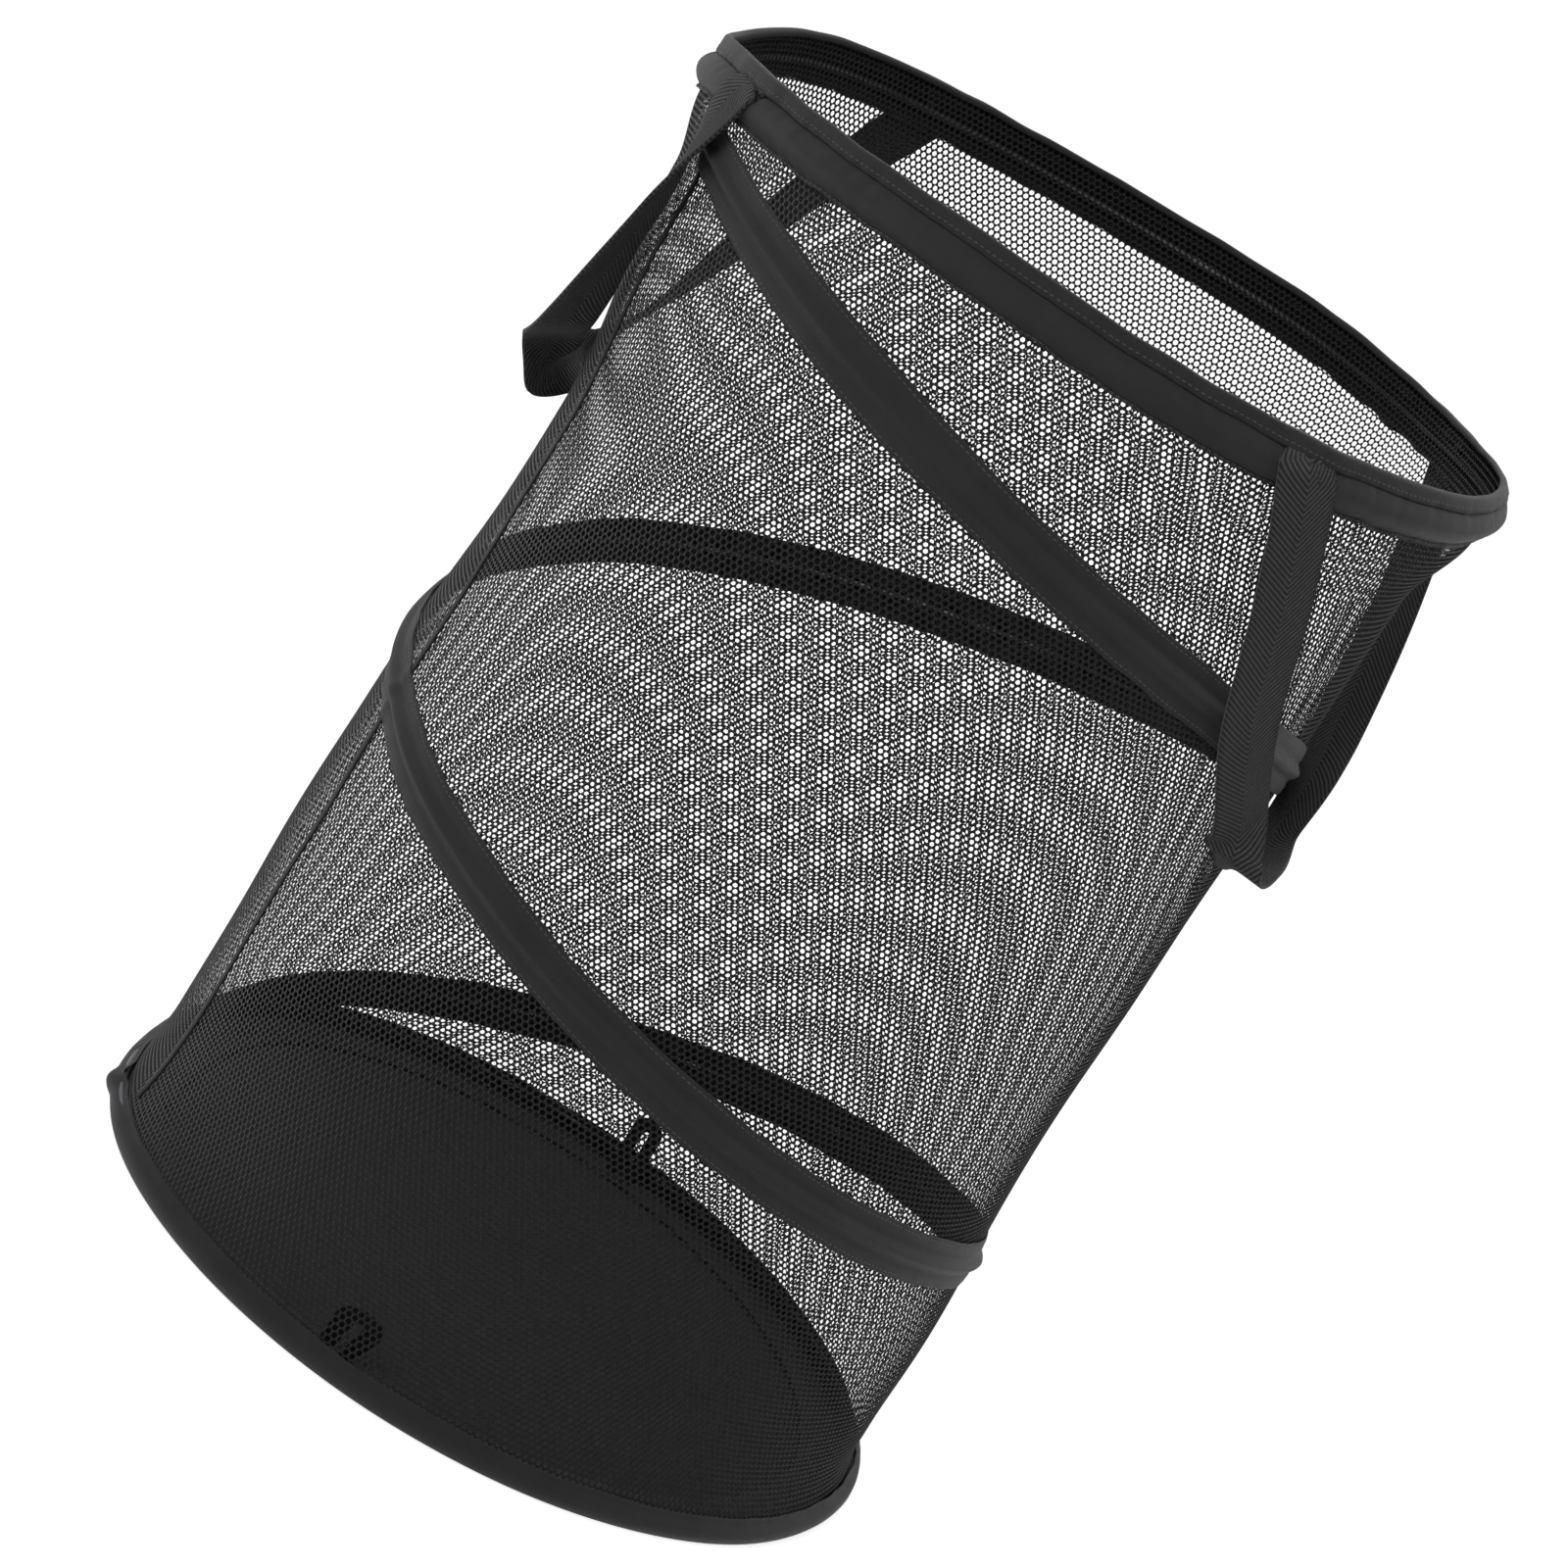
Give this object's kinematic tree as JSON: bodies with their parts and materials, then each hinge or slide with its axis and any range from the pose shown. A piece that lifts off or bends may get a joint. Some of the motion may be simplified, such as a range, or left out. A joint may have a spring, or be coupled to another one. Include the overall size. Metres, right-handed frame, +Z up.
{
  "type": "pop up laundry hamper",
  "caption": "Cylindrical pop-up mesh laundry hamper with a spring-wire spiral, taped rims, a closed cloth base and webbing carry handles; it folds down flat.",
  "frame": {"origin": "centre of the base on the floor", "axes": "+Z up along the axis of the hamper, +X towards the right handle, -Y the front"},
  "size_m": [0.3767, 0.362, 0.508],
  "materials": {
    "tape": "dark grey polyester tape, soft sheen",
    "mesh": "black open polyester knit, see-through",
    "webbing": "dark grey herringbone webbing, matt",
    "base_cloth": "dark grey woven cloth panel, matt",
    "elastic": "black ribbed elastic, matt",
    "steel": "bare spring steel wire"
  },
  "bodies": {
    "root": {"bottom_ring_wire": "steel", "bottom_ring_ferrule": "steel", "bottom_rim_casing": "tape", "base_panel": "base_cloth", "mesh_wall_1": "mesh", "wall_seam": "tape", "spiral_casing": "tape", "spiral_wire": "steel"},
    "wall_level_1": {"mesh_wall_2": "mesh"},
    "wall_level_2": {"mesh_wall_3": "mesh"},
    "wall_level_3": {"mesh_wall_4": "mesh"},
    "top_rim": {"top_ring_wire": "steel", "top_ring_ferrule": "steel", "top_rim_casing": "tape", "left_handle_end_front": "webbing", "left_handle_end_back": "webbing", "right_handle_end_front": "webbing", "right_handle_end_back": "webbing"},
    "left_handle_loop": {"left_handle": "webbing"},
    "right_handle_loop": {"right_handle": "webbing"},
    "front_loop": {"front_elastic_loop": "elastic"},
    "back_loop": {"back_elastic_loop": "elastic"}
  },
  "joints": [
    {"name": "collapse", "type": "slide", "parent": "root", "child": "top_rim", "axis": [0, 0, 1], "range_m": [-0.45, 0], "stiffness_N_per_m": 30, "springref_m": 0.25, "deforming": ["spiral_casing", "spiral_wire", "wall_seam", "mesh_wall_1"]},
    {"name": "wall_fold_1", "type": "slide", "parent": "root", "child": "wall_level_1", "axis": [0, 0, 1], "range_m": [-0.1125, 0], "deforming": ["mesh_wall_2"]},
    {"name": "wall_fold_2", "type": "slide", "parent": "root", "child": "wall_level_2", "axis": [0, 0, 1], "range_m": [-0.225, 0], "deforming": ["mesh_wall_3"]},
    {"name": "wall_fold_3", "type": "slide", "parent": "root", "child": "wall_level_3", "axis": [0, 0, 1], "range_m": [-0.3375, 0], "deforming": ["mesh_wall_4"]},
    {"name": "left_handle_swing", "type": "hinge", "parent": "top_rim", "child": "left_handle_loop", "pos_m": [-0.1288, 0, 0.4888], "axis": [0, 1, 0], "range_deg": [0, 200], "deforming": ["left_handle"]},
    {"name": "right_handle_swing", "type": "hinge", "parent": "top_rim", "child": "right_handle_loop", "pos_m": [0.1368, -0.0096, 0.4888], "axis": [-0.0698, -0.9976, 0], "range_deg": [0, 200], "deforming": ["right_handle"]},
    {"name": "front_loop_fold", "type": "hinge", "parent": "root", "child": "front_loop", "pos_m": [0, -0.1615, 0.0022], "axis": [-1, 0, 0], "range_deg": [0, 85], "stiffness_Nm_per_rad": 0.002},
    {"name": "back_loop_fold", "type": "hinge", "parent": "root", "child": "back_loop", "pos_m": [0, 0.1615, 0.0022], "axis": [1, 0, 0], "range_deg": [0, 85], "stiffness_Nm_per_rad": 0.002}
  ],
  "couplings": [
    {"joint": "wall_fold_1", "follows": "collapse", "ratio": 0.25},
    {"joint": "wall_fold_2", "follows": "collapse", "ratio": 0.5},
    {"joint": "wall_fold_3", "follows": "collapse", "ratio": 0.75}
  ]
}
